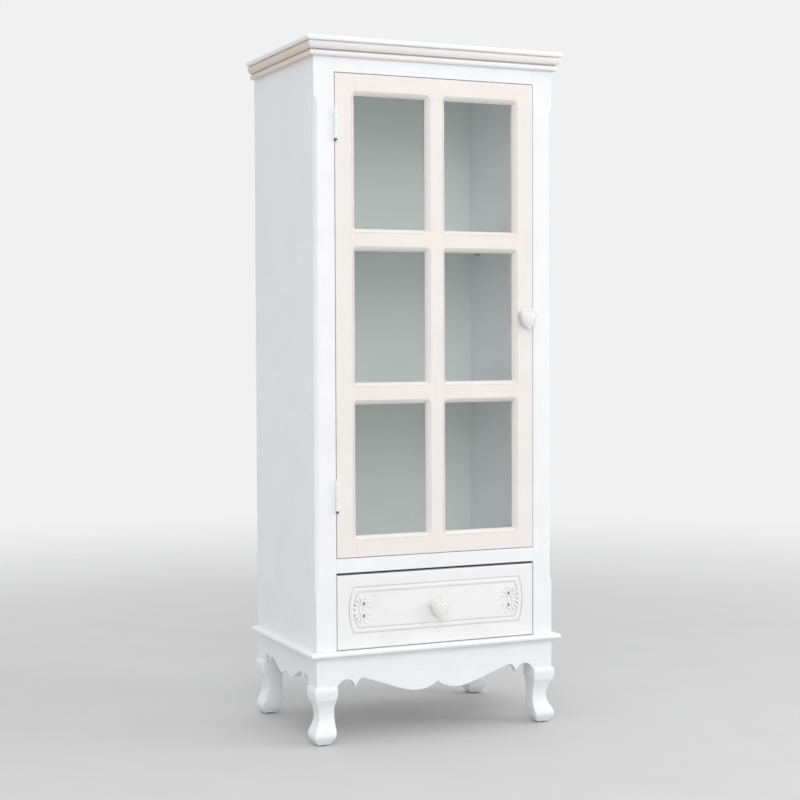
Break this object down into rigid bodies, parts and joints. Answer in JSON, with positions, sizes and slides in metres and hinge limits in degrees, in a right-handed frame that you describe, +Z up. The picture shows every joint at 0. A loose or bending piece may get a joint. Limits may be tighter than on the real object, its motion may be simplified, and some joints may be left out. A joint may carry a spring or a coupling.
{
  "type": "display cabinet",
  "caption": "Tall narrow painted display cabinet with a glazed, barred door over a drawer, heart knobs, a moulded crown and short cabriole legs.",
  "frame": {"origin": "on the floor, under the middle of the cabinet's box with its knobs", "axes": "+Z up, +Y to the back, +X to the right of someone who faces the door"},
  "size_m": [0.48, 0.32, 1.1895],
  "materials": {
    "white_paint": "brushed satin paint on pine",
    "ivory_paint": "brushed satin paint on pine",
    "drawer_paint": "brushed satin paint on pine",
    "interior_paint": "rolled matt paint on board",
    "bare_pine": "planed, unfinished",
    "plywood": "sanded, unfinished",
    "knob_paint": "gloss enamel on turned wood",
    "clear_glass": "clear float glass",
    "hinge_steel": "plated steel, worn",
    "screw_steel": "zinc plated",
    "catch_plastic": "moulded",
    "felt": "pressed felt"
  },
  "bodies": {
    "cabinet": {"left_side_panel": "white_paint", "right_side_panel": "white_paint", "back_panel": "interior_paint", "back_panel_nails": "screw_steel", "carcass_top": "interior_paint", "cabinet_floor": "interior_paint", "top_board": "white_paint", "crown_front": "ivory_paint", "crown_left": "ivory_paint", "crown_right": "ivory_paint", "left_stile": "white_paint", "right_stile": "white_paint", "top_rail": "white_paint", "middle_rail": "white_paint", "face_frame_dowels": "bare_pine", "lower_shelf": "interior_paint", "upper_shelf": "interior_paint", "shelf_pins": "screw_steel", "base_board": "white_paint", "base_screws": "screw_steel", "front_apron": "white_paint", "left_apron": "white_paint", "right_apron": "white_paint", "back_rail": "white_paint", "front_left_leg": "white_paint", "front_right_leg": "white_paint", "rear_left_leg": "white_paint", "rear_right_leg": "white_paint", "corner_braces": "bare_pine", "leg_bolts": "screw_steel", "foot_pads": "felt", "drawer_runners": "bare_pine", "runner_screws": "screw_steel", "hinge_frame_leaves": "hinge_steel", "hinge_pins": "hinge_steel", "hinge_frame_screws": "screw_steel", "magnet_catch": "catch_plastic", "catch_screws": "screw_steel"},
    "door": {"door_hinge_stile": "ivory_paint", "door_knob_stile": "ivory_paint", "door_top_rail": "ivory_paint", "door_bottom_rail": "ivory_paint", "door_mullion": "ivory_paint", "door_cross_bars": "ivory_paint", "door_dowels": "bare_pine", "door_glass": "clear_glass", "glass_beads": "ivory_paint", "hinge_door_leaves": "hinge_steel", "hinge_door_screws": "screw_steel", "door_knob": "knob_paint", "door_knob_screw": "screw_steel", "catch_strike": "screw_steel"},
    "drawer": {"drawer_front": "drawer_paint", "drawer_left_side": "bare_pine", "drawer_right_side": "bare_pine", "drawer_back": "bare_pine", "drawer_bottom": "plywood", "drawer_knob": "knob_paint", "drawer_knob_screw": "screw_steel"}
  },
  "joints": [
    {"name": "door_swing", "type": "hinge", "parent": "cabinet", "child": "door", "pos_m": [-0.1869, -0.1435, 0.72425], "axis": [0, 0, -1], "range_deg": [0, 170]},
    {"name": "drawer_slide", "type": "slide", "parent": "cabinet", "child": "drawer", "axis": [0, -1, 0], "range_m": [0, 0.19]}
  ]
}
